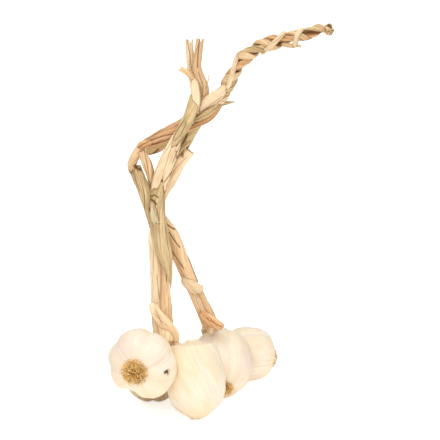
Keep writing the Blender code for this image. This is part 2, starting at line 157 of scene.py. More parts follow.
# Width lies across the front view and depth along it, at the lower end, middle and upper end. Each end is
# a tuck, which rounds off, a point, which narrows, or an open rim: cut, notched or torn. tone is lighter
# or darker than the finish, and twist is in turns over the length.
Strand = namedtuple("Strand", "name finish width depth route foot top tone twist",
                    defaults=("tuck", "tuck", 0.0, 0.35))
STRANDS = (
    # The left stalk, which joins the two left heads and the front one.
    Strand("left_wrap_leaf", "pale_stalk", (6, 10, 7), (4, 5, 4),
           ((-36, -11, 55.5), (-37.5, -11.5, 63.5), (-42, -13.5, 70), (-48, -15, 77), (-53.5, -14, 84),
            (-55.5, -10, 90)), "tuck", "tuck", 0.12),
    Strand("left_sheath", "pale_stalk", (10, 10.5, 9), (8, 8, 6),
           ((-42.5, -17, 57), (-45.5, -12, 66), (-48.5, -10, 73.5)), "tuck", "tuck", 0.06),
    Strand("trunk", "olive_stalk", (5, 14.5, 11.5), (4, 9, 8),
           ((-40.5, -11, 102), (-41, -12, 113.5), (-43.5, -12, 126), (-48, -10, 145), (-50.5, -7, 163),
            (-50.5, -6.5, 180), (-48.5, -8, 194)), "point", "torn"),
    Strand("left_stalk_outer", "pale_stalk", (7, 8.5, 6.5), (8, 8, 6),
           ((-51.5, -9, 61.5), (-53, -8, 84.5), (-53, -7, 107), (-54, -6, 128), (-55, -6, 145),
            (-53.5, -5, 160))),
    Strand("left_stalk_inner", "stalk", (13, 10, 8), (10, 9, 7),
           ((-44, -5, 56), (-45, -4, 75.5), (-46, -2, 97.5), (-48.5, 1, 120), (-51.5, 3, 148),
            (-51.5, -1, 164)), "tuck", "point", 0.12),
    Strand("front_head_neck", "pale_stalk", (9, 8, 6), (9, 8, 6),
           ((-23, -19, 50), (-31, -13, 50.5), (-38, -9, 54), (-43, -3, 63))),
    Strand("left_head_neck", "pale_stalk", (10, 10, 8), (9, 9, 8),
           ((-57.5, -26, 50), (-54.5, -18, 52.5), (-49.5, -10, 59.5), (-47.5, -4, 69))),
    # The right stalk, which joins the two right heads.
    Strand("right_base_wrap", "russet_stalk", (6, 10, 6), (4, 5, 4),
           ((2.5, 2, 64), (-3.5, -3, 69), (-10, -4, 74), (-16, -1, 78)), "tuck", "tuck", 0.16),
    Strand("right_mid_wrap", "pale_stalk", (7, 10.5, 7), (4, 5, 4),
           ((-15, 3, 97.5), (-18.5, -2.4, 99.5), (-25.5, -3.2, 104), (-30.5, 2, 108)),
           "tuck", "tuck", -0.03),
    Strand("right_stub", "pale_stalk", (5.5, 5, 4), (5, 5, 4),
           ((-8.5, 1, 59), (-7.5, 0, 65), (-6.5, 0, 70))),
    Strand("right_upper", "stalk", (7.5, 11.5, 5), (6, 9, 5),
           ((-20.5, 0, 102.5), (-27, -1, 115.5), (-33, -1, 130), (-39, 0, 146), (-44, 0, 158),
            (-48.5, -2, 168)), "tuck", "point", 0.05),
    Strand("right_stalk_outer", "stalk", (8, 7, 5.5), (9, 8, 6),
           ((-4, 9, 60.5), (-7.5, 7, 72), (-13.5, 6.5, 86), (-19, 6.5, 96.5), (-24.5, 6, 106.5)),
           "tuck", "tuck", 0.06),
    Strand("right_stalk_inner", "stalk", (8.5, 7, 6), (9, 8, 6),
           ((-10, 6, 62.5), (-15, 3, 76), (-20.5, 3, 89.5), (-31, 7, 111.5), (-40, 9, 133),
            (-49, 6, 160), (-51, -1, 176)), "tuck", "point", 0.06),
    Strand("right_back_neck", "pale_stalk", (10, 8.5, 7), (10, 9, 8),
           ((1.5, 45.5, 30.5), (-7, 43, 40), (-12, 34, 50), (-10, 22, 61), (-9, 14, 75))),
    Strand("right_head_neck", "pale_stalk", (11, 9, 7), (11, 9, 7),
           ((1.5, 34.5, 39), (-2, 30, 49), (-5, 20, 58), (-7, 11, 69))),
    # The open loop on the left, above the crossing of the two stalks.
    Strand("loop_knot", "russet_stalk", (4, 6.5, 3.5), (4, 5, 4),
           ((-66, -10, 221.5), (-63, -12, 225), (-59, -12, 226), (-55, -11, 227.5)),
           "tuck", "tuck", 0.14),
    Strand("loop_outer_low", "olive_stalk", (5.5, 9.5, 11), (5, 7, 8),
           ((-53.5, -2, 148), (-58, -3, 167), (-61.5, -4, 184), (-70, -4, 204)), "tuck", "cut"),
    Strand("loop_outer_high", "stalk", (7.5, 7.5, 8), (7, 7, 7),
           ((-67.5, -3, 196), (-71.2, -4.5, 203.5), (-70.5, -5, 209.5), (-66, -5, 217.5),
            (-61.5, -6, 225))),
    Strand("branch_left", "pale_stalk", (7.5, 8, 4.5), (7, 7, 5),
           ((-52.5, -5, 180), (-51, -9.5, 194.5), (-46, -11, 209.5), (-41, -10.5, 222), (-34, -9, 238))),
    Strand("branch_middle", "pale_stalk", (5.5, 8, 5), (6, 6, 5),
           ((-47, -5, 181), (-43.5, -10.5, 199), (-39, -12, 214), (-34.5, -11, 227.5), (-30, -11, 238))),
    Strand("branch_stub", "pale_stalk", (5.5, 9, 9.5), (7, 8, 7),
           ((-47.5, -3, 170), (-43.5, -1, 182), (-39.5, 0, 192), (-33, -1, 205.5), (-24.5, -2, 217.5)),
           "point", "cut", 0.02),
    Strand("loop_inner", "stalk", (5, 8, 6.5), (5, 6, 5),
           ((-55, 3, 182.5), (-56.5, -3, 196.5), (-60.5, -8, 210.5), (-64, -9, 219.5))),
    # The upper crossing.
    Strand("upper_olive", "olive_stalk", (5.5, 9.5, 9.5), (6, 8, 8),
           ((-42, -10, 213), (-38, -11.5, 223), (-32.5, -12.5, 234), (-26.5, -13, 245),
            (-22.5, -12, 254.5), (-19, -7, 266)), "point"),
    Strand("band_russet", "russet_stalk", (6.5, 10.5, 7), (6, 8, 6),
           ((-63, -6, 223), (-55, -8.5, 227.5), (-44, -9, 233.5), (-31.5, -5.5, 240.5),
            (-24, -1, 245.5)), "tuck", "tuck", -0.08),
    Strand("band_under", "olive_stalk", (7.5, 9, 5), (5, 6, 5),
           ((-60, 1, 215.5), (-52.5, 2.5, 218.5), (-43.5, 4, 223.5), (-35.5, 6, 228)),
           "tuck", "tuck", 0.14),
    Strand("band_pale", "pale_stalk", (5.5, 11, 7.5), (5, 7, 6),
           ((-24, -3, 244.5), (-15.5, -7.5, 254), (-6, -9, 262), (1, -8, 268), (5.5, -5, 273)),
           "tuck", "tuck", -0.06),
    Strand("strand_tan", "olive_stalk", (3.5, 5.5, 4), (4, 5, 4),
           ((-24, -9, 243.5), (-14.5, -10.5, 248), (-6, -10, 253.5), (1, -6, 260.5))),
    Strand("strand_russet", "russet_stalk", (3.5, 6, 4), (5, 6, 5),
           ((-27.5, -5, 235), (-16.5, -6, 241.5), (-6.5, -6, 248.5), (1, -3, 257.5))),
    Strand("wedge", "olive_stalk", (6, 10, 6), (5, 6, 5),
           ((-37, 0, 207), (-31, -1, 219), (-25, -2, 229.5), (-15, 0, 243)), "point", "tuck", -0.08),
    Strand("spike_leaf", "olive_stalk", (4.5, 3.2, 1.6), (3, 2.5, 1.5),
           ((-2, -1, 255.5), (5, -1, 257), (13, -2, 258.5)), "tuck", "point", -0.12),
    # The cut stubs that stand up beside the tail.
    Strand("stub_left", "pale_stalk", (8, 7.5, 6.2), (7, 6, 5),
           ((-21, -9, 250), (-19, -11, 262), (-20.5, -9.5, 273.5), (-23, -5, 290), (-24, -6, 300.5),
            (-24.5, -6, 311)), "tuck", "notched"),
    Strand("stub_right", "stalk", (6.5, 8.5, 6.0), (6, 6, 6),
           ((-15, -2, 252), (-13, -3, 262.5), (-13, -5, 272), (-18.5, -11, 288), (-17.5, -10, 299.5),
            (-15.8, -8, 312)), "tuck", "notched", -0.06),
    Strand("stub_twig", "stalk", (5, 5, 4.5), (5, 4.5, 4),
           ((-21, -9, 279.5), (-25.5, -11.5, 284.5), (-32, -12, 288.5)), "tuck", "cut"),
)

# Thin leaves that lie on the braid and cover no solid of their own.
SLIPS = (
    Strand("trunk_pale_strip", "green_leaf", (3, 4.5, 4.5), (2, 2.5, 2.5),
           ((-55.5, -11.5, 175), (-55, -13.5, 169), (-53.5, -15, 163), (-52, -15.3, 159.5)),
           "point", "torn", 0.05),
    Strand("tail_long_band", "pale_stalk", (3.5, 4.5, 3.5), (2.5, 3, 2.5),
           ((5.5, -7, 267), (8.0, -11.2, 278.0), (10.2, -11.2, 286.1), (13.5, -8, 297.5)),
           "tuck", "tuck", -0.10),
    Strand("tail_slant_band", "pale_stalk", (3.5, 4.5, 3.5), (2.5, 3, 2.5),
           ((33.0, -4.5, 298.5), (39.3, -8.6, 304.8), (45.0, -8.4, 310.5), (52.0, -3.0, 317.0)),
           "tuck", "tuck", -0.10),
    Strand("tail_upright_band", "pale_stalk", (3.5, 4.5, 3.5), (2.5, 3, 2.5),
           ((58.5, -3.0, 303.0), (60.5, -7.0, 309.0), (62.3, -7.2, 315.5), (66.5, -2.5, 319.0)),
           "tuck", "tuck", -0.10),
    Strand("tail_flap", "stalk", (3.5, 3.5, 2), (2, 1.6, 1.2),
           ((49.0, -3.0, 306.5), (56.0, -5.5, 306.0), (61.0, -5.0, 305.6), (65.5, -4.5, 304.4)),
           "tuck", "torn", -0.1),
    Strand("stub_fibre", "stalk", (0.9, 0.8, 0.5), (0.8, 0.7, 0.5),
           ((-12, -7, 270), (-9.5, -8, 277), (-9, -8, 281), (-11.5, -8, 285)), "tuck", "tuck", 0.0),
)

TAIL_RADIUS = (6.0, 6.7, 4.7)
TAIL_ROUTE = (
    (-2, -5, 259),
    (4.5, -5, 269.5),
    (9.5, -4.5, 281),
    (16, -4, 291.5),
    (25, -3, 300),
    (36, -2, 305),
    (49, -0.5, 308.5),
    (66.5, 0, 313.5),
    (79, 0.5, 317),
    (89.5, 1, 318.7),
)
TAIL_RELIEF = 1.3
TAIL_SHADE_REACH = 0.35
TAIL_GRAIN_RADIUS = 4
TAIL_GRAIN_SHIFT = 200

# crossings are the distances along the tail between which a strand winds by rate turns, from start. away,
# wide and thick are shares of the tail's radius, and so is shade_from, under which the strand darkens.
TailStrand = namedtuple("TailStrand", "name finish crossings rate start away wide thick shade_from tone")
TAIL = (
    TailStrand("tail_strand_1", "stalk", (3, 25, 47, 68, 90, 110, 130), 1.0, 0.0,
               0.66, 0.50, 0.30, 0.50, -0.06),
    TailStrand("tail_strand_2", "russet_stalk", (0, 60, 120), 1.2, 0.30, 0.42, 0.50, 0.46, 0.84, 0.0),
    TailStrand("tail_strand_3", "olive_stalk", (0, 60, 120), 1.2, 0.82, 0.42, 0.50, 0.46, 0.84, 0.0),
)

# Dark slits, scars and creases in a leaf: its strand, the line that it follows, half its width, how dark
# and how deep it is. In the slits and creases the dark is painted shade; in the scars it is their own
# colour.
Mark = namedtuple("Mark", "strand line half_width dark deep")
MARKS = (
    Mark("trunk", ((-56.8, -15, 180.3), (-53.5, -15, 182.4), (-50.3, -15, 180.3)), 1.0, 0.9, 0.5),
    Mark("trunk", ((-56.3, -15, 177.6), (-54.3, -15, 176.8), (-52.4, -15, 174.6)), 1.5, 1.0, 0.8),
    Mark("trunk", ((-56.9, -15, 158.4), (-53.7, -15, 158.8), (-48.6, -15, 158.4)), 0.5, 0.8, 0.4),
    Mark("trunk", ((-60.0, -12, 177.5), (-57.5, -13, 169.0), (-55.3, -14, 161.3)), 0.7, 0.9, 0.5),
    Mark("trunk", ((-53.0, -15, 173.5), (-50.8, -15, 167.6), (-49.6, -15, 160.8)), 0.5, 0.9, 0.5),
    Mark("trunk", ((-46.0, -14, 190.0), (-45.5, -14, 170.0), (-44.0, -15, 150.0)), 0.4, 0.5, 0.3),
    Mark("loop_outer_high", ((-69.0, -6, 205.8), (-66.5, -7, 205.3), (-64.0, -7, 204.5)), 1.5, 1.0, 1.2),
    Mark("loop_knot", ((-66.0, -13, 222.5), (-62.0, -14, 226.5), (-57.0, -13, 228.5)), 0.6, 1.0, 0.9),
    Mark("loop_knot", ((-66.5, -12, 219.5), (-61.5, -14, 223.2), (-56.5, -13, 225.0)), 0.5, 0.9, 0.7),
    Mark("right_mid_wrap", ((-17.5, -6, 98.5), (-22.0, -7, 101.3), (-28.0, -6, 104.5)), 0.4, 0.5, 0.4),
    Mark("loop_outer_low", ((-68.5, -8, 205.0), (-66.0, -8, 203.8), (-62.5, -8, 202.5)), 1.6, 1.0, 1.0),
    Mark("branch_middle",
         ((-35.5, -14, 220.4), (-34.7, -14, 212.9), (-38.8, -14, 202.8),
          (-45.2, -12, 193.5)), 0.6, 1.0, 0.4),
    Mark("band_russet",
         ((-58.1, -12, 225.7), (-56.5, -12, 228.4), (-46.8, -13, 232.4),
          (-35.5, -12, 234.1)), 0.7, 1.0, 0.7),
    Mark("band_russet", ((-60.0, -10, 223.5), (-52.0, -12, 226.5), (-45.0, -12, 229.5)), 0.5, 0.8, 0.4),
    Mark("upper_olive", ((-36.5, -14, 229.0), (-31.5, -15, 234.5), (-27.0, -17, 245.0)), 0.6, 0.8, 0.4),
    Mark("branch_stub", ((-31.5, -6, 220.9), (-30.7, -6, 213.2)), 1.8, 0.8, 0.6),
    Mark("wedge", ((-32.5, -4, 222.0), (-29.0, -4, 226.0), (-27.0, -4, 232.0)), 1.6, 0.9, 0.4),
    Mark("band_under", ((-58.5, 0, 210.9), (-54.4, -1, 213.3), (-50.3, 0, 217.5)), 1.6, 0.9, 0.4),
    Mark("right_upper", ((-43.3, -5, 154.9), (-40.0, -5, 152.4), (-36.8, -4, 150.7)), 0.9, 1.0, 0.8),
    Mark("right_upper", ((-41.7, -6, 147.8), (-37.6, -6, 141.8), (-32.8, -6, 135.8)), 0.7, 1.0, 0.8),
    Mark("right_upper", ((-40.2, -6, 132.3), (-36.1, -6, 126.3), (-30.2, -6, 117.5)), 0.7, 1.0, 0.8),
    Mark("left_stalk_outer", ((-51.6, -11, 114.1), (-50.5, -11, 101.2), (-48.5, -11, 85.6)), 0.5, 0.8, 0.4),
    Mark("right_base_wrap", ((-11.6, -7, 75.1), (-5.0, -7, 70.8), (2.3, -2, 65.5)), 0.5, 1.0, 0.6),
    Mark("right_base_wrap", ((-14.0, -5, 77.5), (-8.0, -7, 74.5), (-4.0, -6, 71.5)), 0.4, 0.8, 0.4),
    Mark("left_wrap_leaf", ((-54.8, -17, 83.0), (-49.2, -18, 77.3), (-43.7, -16, 71.9)), 0.5, 0.7, 0.4),
    Mark("stub_left", ((-26.5, -10, 310.5), (-24.2, -10, 299.4), (-22.6, -11, 285.5)), 0.7, 0.8, 0.6),
    Mark("stub_right", ((-16.4, -11, 311.5), (-17.6, -13, 299.5), (-18.0, -14, 289.5)), 0.8, 0.9, 0.7),
    Mark("stub_right", ((-15.0, -7, 262.9), (-13.5, -8, 272.8), (-17.2, -14, 285.6)), 0.6, 0.8, 0.5),
    Mark("band_pale", ((-13.7, -12, 252.4), (-6.4, -12, 259.1), (1.6, -11, 264.9)), 0.5, 0.8, 0.4),
    Mark("band_pale", ((-19.5, -8, 247.9), (-11.3, -12, 253.6), (-1.0, -12, 260.2)), 0.4, 0.7, 0.3),
    Mark("strand_tan", ((-21.5, -12, 245.0), (-11.3, -13, 249.8), (0.0, -9, 257.4)), 0.5, 0.8, 0.4),
)

# ---------------------------------------------------------------- the roots

# along is how far below the middle of its head the tuft stands.
Tuft = namedtuple("Tuft", "name head radius height along count seed")
TUFTS = (
    Tuft("roots_left", "head_left", 11.8, 5.6, 17.5, 520, 3),
    Tuft("roots_right", "head_right", 12.0, 6.6, 23.5, 420, 11),
    Tuft("roots_far_right", "head_far_right", 9.5, 8.5, 18.0, 280, 19),
    Tuft("roots_back_left", "head_back_left", 9.0, 5.5, 19.5, 260, 27),
)
HAIR_RADII = (0.26, 0.50)
HAIR_TONES = (-0.8, 0.6)
HAIR_TAPER = 0.45
STRAY_SHARE = 0.14
STRAY_REACH = 1.22
CORE_RADIUS = 0.74  # of the tuft
CORE_HEIGHT = 0.6
LOWEST_HAIR = 0.05

# The few roots that show under the front head.
TIP_COUNT = 26
TIP_SPREAD = 3.4
TIP_PLACE = (-20.5, -42.5, 4.6)
TIP_HANG = (0.0, -1.2, -3.9)
TIP_RADIUS = 0.42
TIP_TONES = (-0.8, 0.4)
TIP_SEED = 41
LOWEST_TIP = 0.1


# ---------------------------------------------------------------- curves and uneven shapes

def smooth(points, place):
    """Points on a Catmull-Rom curve at each place from 0 to 1."""
    points = np.asarray(points, float)
    if points.ndim == 1:
        points = points[:, None]
    spans = len(points) - 1
    place = np.atleast_1d(place)
    span = np.minimum((place * spans).astype(int), spans - 1)
    t = (place * spans - span)[:, None]
    a, b, c, d = (points[np.clip(span + i, 0, spans)] for i in (-1, 0, 1, 2))
    return 0.5 * (2 * b + (c - a) * t + (2 * a - 5 * b + 4 * c - d) * t**2 + (3 * b - a - 3 * c + d) * t**3)


def unit(vectors):
    return vectors / np.maximum(np.linalg.norm(vectors, axis=-1, keepdims=True), 1e-9)


def frame_along(axis, across=(1.0, 0.0, 0.0)):
    """The directions, as columns, of a frame whose Z is axis and whose X is as near across as it can be."""
    z = unit(np.array(axis, float))
    x = np.array(across, float)
    x = unit(x - z * x.dot(z))
    return np.stack([x, np.cross(z, x), z], axis=1)


def waver(values, seed, length):
    """A smooth random line that wanders between about -1 and 1 as values runs on."""
    draw = random.Random(seed)
    total = 0
    for octave in range(3):
        rate = TURN / length * draw.uniform(0.7, 1.4) * 2**octave
        total = total + np.sin(values * rate + draw.uniform(0, TURN)) / 1.7**octave
    return total / 1.7


def mottle(angle, along, seed, around=4, length=40.0, waves=8):
    """A smooth random field, about -1 to 1, that closes on itself round the piece."""
    draw = random.Random(seed)
    total = 0
    for _ in range(waves):
        lean = draw.choice((-1, 1)) * draw.uniform(0.3, 1.6) * TURN / length
        total = total + np.sin(draw.randint(0, around) * angle + lean * along + draw.uniform(0, TURN))
    return total / math.sqrt(waves)


def valleys(turns, width):
    """1 at each whole number of turns, falling to 0 at width to either side of it."""
    away = np.abs((turns + 0.5) % 1 - 0.5) / width
    return np.clip(1 - away, 0, 1) ** 1.5


def ease(values, low, high):
    share = np.clip((values - low) / (high - low), 0, 1)
    return share * share * (3 - 2 * share)


def from_line(points, line):
    """The distance of each point from a line of straight runs."""
    line = np.asarray(line, float)
    least = np.full(points.shape[:-1], 1e9)
    for start, end in zip(line[:-1], line[1:]):
        run = end - start
        share = np.clip((points - start) @ run / run.dot(run), 0, 1)
        least = np.minimum(least, np.linalg.norm(points - start - share[..., None] * run, axis=-1))
    return least


def nearness(points, line, half_width):
    """1 for a point on the line as seen from the front, and less over half_width. Depth is left out."""
    seen = np.array((1.0, 0.0, 1.0))
    return np.exp(-((from_line(points * seen, np.array(line) * seen) / half_width) ** 2))


# ---------------------------------------------------------------- meshes

def around_axis(radius, angle, level):
    """Points radius out from the Z axis at each angle, at level."""
    return np.stack(np.broadcast_arrays(radius * np.cos(angle), radius * np.sin(angle), level), axis=-1)


def ring_faces(rows, sides, downward=False):
    """Faces over rows of rings and across both ends. downward is for rows that run against their axis."""
    index = np.arange(rows * sides).reshape(rows, sides)
    first, last, low, high = index[0][::-1], index[-1], index[:-1], index[1:]
    if downward:
        first, last, low, high = first[::-1], last[::-1], high, low
    walls = np.stack([low, np.roll(low, -1, 1), np.roll(high, -1, 1), high], axis=-1)
    return walls.reshape(-1, 4).tolist() + [first.tolist(), last.tolist()]


def skin_over(name, points, wear, grain):
    """A piece over rows of rings. points, wear and grain are rows x sides x 3."""
    faces = ring_faces(*points.shape[:2])
    return mesh_piece(name, points.reshape(-1, 3), faces, wear.reshape(-1, 3), grain.reshape(-1, 3))


def mesh_piece(name, points, faces, wear, grain):
    mesh = bpy.data.meshes.new(name)
    mesh.from_pydata((np.asarray(points) * MILLIMETRE).tolist(), [], faces)
    for label, values in (("wear", wear), ("grain", grain)):
        layer = mesh.attributes.new(label, "FLOAT_VECTOR", "POINT")
        layer.data.foreach_set("vector", np.asarray(values, np.float32).ravel())
    mesh.shade_smooth()
    mesh.update()
    piece = bpy.data.objects.new(name, mesh)
    bpy.context.scene.collection.objects.link(piece)
    return piece


def place_piece(piece, material, node=None):
    piece.data.materials.append(material)
    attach(piece, "root")
    if node:
        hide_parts(node)
    return piece


# ---------------------------------------------------------------- heads

def soften(rings, reach):
    """Rings of values with each averaged over its neighbours, up to reach places to either side."""
    steps = range(-reach, reach + 1)
    weights = [math.exp(-2.0 * (step / reach) ** 2) for step in steps]
    total = sum([weight * np.roll(rings, step, axis=-1) for weight, step in zip(weights, steps)])
    return total / sum(weights)


def clove_radius(cloves, angle):
    """How far out the skin lies at each angle, as a share of the head's radius."""
    radius = np.ones_like(angle)
    groove_mask = np.zeros_like(angle)
    for this, following in zip(cloves, cloves[1:] + ((cloves[0][0] + 360, *cloves[0][1:]),)):
        share = ((angle - this[0]) % 360) / (following[0] - this[0])
        inside = share < 1
        groove = this[1] + (following[1] - this[1]) * share
        edge = np.abs(2 * share - 1)
        swell = groove + (this[2] - groove) * (1 - edge**CLOVE_FULLNESS)
        radius = np.where(inside, swell, radius)
        groove_mask = np.where(inside, edge**GROOVE_SHARPNESS, groove_mask)
    return soften(radius, SOFTENED), groove_mask


def head_shape(head):
    """Rings of the head from its root plate to its neck, about its own centre, with its painted crease
    shade and grain.
    """
    place = np.linspace(0, 1, HEAD_ROWS)
    out, height = smooth(HEAD_OUTLINE, place).T
    over = height - SHOULDER_HEIGHT
    height = np.where(over > 0, SHOULDER_HEIGHT + over * head.neck, height)
    draw_in = np.clip((BELLY_HEIGHT - height) / (1 + BELLY_HEIGHT), 0, 1) ** 2.5
    out = out * (1 - head.point * draw_in)
    angle = np.arange(HEAD_SIDES) * TURN / HEAD_SIDES
    place, out, height, angle = place[:, None], out[:, None], height[:, None], angle[None, :]
    seed = head.name
    lean = np.degrees(angle) + head.swirl * height
    clove, groove = clove_radius(head.cloves, lean)
    lobed = np.sin(math.pi * np.clip(place / LOBED_TO, 0, 1)) ** LOBE_SPREAD
    around = np.radians(lean)
    shape = 1 + (clove - 1) * lobed
    radius = head.radius * out * shape
    level = height * head.half_height
    # The skin's own relief: soft dents, ribs that gather at the neck, and the edge of a torn outer layer.
    ribs = np.sin(RIBS * around + 2.2 * mottle(angle, level, seed + "rib", 3, 60))
    fine = np.sin(FINE_RIBS * around + 3.0 * mottle(angle, level, seed + "fine", 5, 45))
    strength = 0.5 + 0.5 * mottle(around, level, seed + "strength", 3, 70)
    gather = ease(place, 0.76, 1.0) + 0.5 * ease(place, 0.20, 0.05)
    pleats = valleys(around * PLEATS / TURN + 0.25 * mottle(angle, level, seed + "pleat", 3, 30), 0.4)
    torn = mottle(around, level * 0.6, seed + "torn", 3, 65)
    torn = torn + 0.10 * mottle(around, level, seed + "rag", 14, 9)
    layer = ease(torn, 0.42, 0.47)
    dents = 0.55 * mottle(angle, level, seed + "dent", 4, 42)
    dents = dents + 0.16 * mottle(angle, level, seed + "small", 9, 14)
    lift = (
        head.veins * (0.09 * ribs + 0.03 * fine) * (0.35 + 0.65 * np.clip(strength, 0, 1))
        + dents * (0.4 + 0.6 * np.sin(math.pi * place))
        + 0.22 * layer
        - 0.7 * pleats * gather
        - 0.10 * groove * lobed
    )
    radius = np.maximum(radius + lift * np.clip(out * 1.6, 0.15, 1), 0.4)
    local = around_axis(radius, angle, level)
    # Painted shade in the grooves between the cloves and the pleats at the neck; the torn layer's edge is
    # darkened too.
    shade_and_marks = np.clip(0.22 * groove * lobed + 0.4 * pleats * gather + 0.3 * (layer * (1 - layer)) * 4, 0, 1)
    grain = around_axis(head.radius, around, level)
    return local @ frame_along(head.axis).T, shade_and_marks, grain


def head_points(head):
    """The head where it stands or hangs: its points, crease, grain and centre."""
    points, shade_and_marks, grain = head_shape(head)
    centre = np.array(head.centre)
    if head.stands:
        centre[2] = -FLAT_DEPTH - points[..., 2].min()
    return points + centre, shade_and_marks, grain, centre


def spots(points, centre, marks):
    """How strongly each of the marks, seen from the centre, colours each point, from 0 to 1."""
    away = unit(points - centre)
    total = np.zeros(points.shape[:-1])
    for direction, reach, strength in marks:
        angle = np.arccos(np.clip(away @ unit(np.array(direction, float)), -1, 1))
        total = np.maximum(total, strength * np.exp(-(angle / reach) ** 2))
    return total


def nicked(head, points, shade_and_marks, centre):
    """The head's points pressed in along its nicks, and darkened there: tan, and near black as painted
    shade in the worm hole.
    """
    for nick in NICKS.get(head.name, ()):
        share = nearness(points, nick.line, nick.half_width) * (points[..., 1] < centre[1] - NICKS_FROM)
        points = points - unit(points - centre) * (nick.deep * share)[..., None]
        shade_and_marks = np.maximum(shade_and_marks, nick.dark * share)
    return points, shade_and_marks


def make_heads(finishes):
    for head in HEADS:
        points, shade_and_marks, grain, centre = head_points(head)
        points[..., 2] = np.maximum(points[..., 2], 0.0)
        points, shade_and_marks = nicked(head, points, shade_and_marks, centre)
        blush = spots(points, centre, head.blushes)
        # Painted shade: the downward golds darken and warm the heads' undersides.
        gold_and_shade = spots(points, centre, head.golds)
        wear = np.stack([shade_and_marks, gold_and_shade, blush], axis=-1)
        piece = skin_over(head.name + "_skin", points, wear, grain)
        place_piece(piece, finishes[head.name], head.name)


# ---------------------------------------------------------------- roots

def rootlet(path, thick, tone, sides=5):
    """One root hair: its points, faces, wear and grain."""
    rows = len(path)
    along = unit(np.gradient(path, axis=0))
    x = unit(np.cross(along, (0.31, 0.52, 0.79)))
    y = np.cross(along, x)
    angle = np.arange(sides) * TURN / sides
    taper = np.linspace(1.0, HAIR_TAPER, rows)[:, None, None]
    ring = thick * taper * (x[:, None] * np.cos(angle)[:, None] + y[:, None] * np.sin(angle)[:, None])
    points = path[:, None] + ring
    height = np.broadcast_to(np.linspace(0, 1, rows)[:, None], (rows, sides))
    wear = np.stack([1 - height, np.full((rows, sides), tone), height], axis=-1)
    grain = np.broadcast_to(path[:, None], points.shape)
    return points.reshape(-1, 3), ring_faces(rows, sides), wear.reshape(-1, 3), grain.reshape(-1, 3)


def gather(parts):
    """The points, faces, wear and grain of many small parts as one."""
    points, faces, wear, grain = [], [], [], []
    start = 0
    for part in parts:
        points.append(part[0])
        faces += [[start + i for i in face] for face in part[1]]
        wear.append(part[2])
        grain.append(part[3])
        start += len(part[0])
    return np.concatenate(points), faces, np.concatenate(wear), np.concatenate(grain)


def tuft_path(draw, turn, middle, radius, height):
    """A root that starts on the plate and ends somewhere on the tuft's dome, bent on the way."""
    angle = draw.uniform(0, TURN)
    stray = draw.random() < STRAY_SHARE
    end_out = radius * (0.08 + 0.95 * math.sqrt(draw.random())) * (STRAY_REACH if stray else 1.0)
    start_out = min(end_out, radius) * draw.uniform(0.40, 0.75)
    rise = math.sqrt(max(0.0, 1 - (end_out / (1.05 * radius)) ** 2)) * draw.uniform(0.6, 1.05)
    swing = draw.gauss(0, 0.4)
    start = (start_out * math.cos(angle), start_out * math.sin(angle), 0.1 * height)
    end = (end_out * math.cos(angle + swing), end_out * math.sin(angle + swing), -height * rise)
    bend = [(s + e) / 2 + draw.gauss(0, 0.9) for s, e in zip(start, end)]
    tip = [e + draw.gauss(0, 0.8) for e in end]
    path = smooth([start, bend, end, tip], np.linspace(0, 1, 8))
    path[:, 2] = np.maximum(path[:, 2], -height * 1.05)
    return path @ turn.T + middle


def core(turn, middle, radius, height, seed):
    """The lumpy mass that the roots stand on."""
    rows, sides = 14, 40
    rise = np.linspace(0.3, -1, rows)[:, None]
    angle = (np.arange(sides) * TURN / sides)[None, :]
    out = radius * np.sqrt(np.clip(1 - np.clip(-rise, 0, 1) ** 2, 0.02, 1))
    out = out * (1 + 0.10 * mottle(angle, rise * 10, seed, 9, 5) + 0.05 * np.sin(17 * angle))
    points = around_axis(out, angle, height * rise) @ turn.T + middle
    wear = np.zeros(points.shape)
    wear[..., 0] = 1.0
    wear[..., 1] = -0.3
    flat = points.reshape(-1, 3)
    return flat, ring_faces(rows, sides, downward=True), wear.reshape(-1, 3), flat


def make_tufts(finish):
    for tuft in TUFTS:
        head = next(head for head in HEADS if head.name == tuft.head)
        centre = head_points(head)[3]
        turn = frame_along(head.axis)
        middle = centre - unit(np.array(head.axis)) * tuft.along
        draw = random.Random(tuft.seed)
        parts = [core(turn, middle, tuft.radius * CORE_RADIUS, tuft.height * CORE_HEIGHT, tuft.seed)]
        for _ in range(tuft.count):
            path = tuft_path(draw, turn, middle, tuft.radius, tuft.height)
            parts.append(rootlet(path, draw.uniform(*HAIR_RADII), draw.uniform(*HAIR_TONES)))
        points, faces, wear, grain = gather(parts)
        points[:, 2] = np.maximum(points[:, 2], LOWEST_HAIR)
        piece = mesh_piece(tuft.name + "_hairs", points, faces, wear, grain)
        place_piece(piece, finish, tuft.name)


def make_root_tip(finish):
    """The few short root ends that show under the front head."""
    draw = random.Random(TIP_SEED)
    parts = []
    for _ in range(TIP_COUNT):
        out, turn = TIP_SPREAD * math.sqrt(draw.random()), draw.uniform(0, TURN)
        start = np.array(TIP_PLACE) + (out * math.cos(turn), out * math.sin(turn), 0.0)
        end = start + TIP_HANG + (draw.gauss(0, 1.1), draw.gauss(0, 1.0), 0.0)
        middle = (start + end) / 2 + (draw.gauss(0, 0.5), draw.gauss(0, 0.5), 0.0)
        path = smooth([start, middle, end], np.linspace(0, 1, 6))
        parts.append(rootlet(path, TIP_RADIUS, draw.uniform(*TIP_TONES)))
    points, faces, wear, grain = gather(parts)
    points[:, 2] = np.maximum(points[:, 2], LOWEST_TIP)
    place_piece(mesh_piece("roots_front_hairs", points, faces, wear, grain), finish)


# ---------------------------------------------------------------- stalks

def sections(route, width, depth, length):
    """Rows along a route: each one's place from 0 to 1, middle, direction, width and depth."""
    place = np.linspace(0, 1, max(FEWEST_ROWS, round(length / STEP)) + 1)
    middle = smooth(route, place)
    along = unit(np.gradient(middle, axis=0))
    return place, middle, along, smooth(width, place)[:, 0], smooth(depth, place)[:, 0]


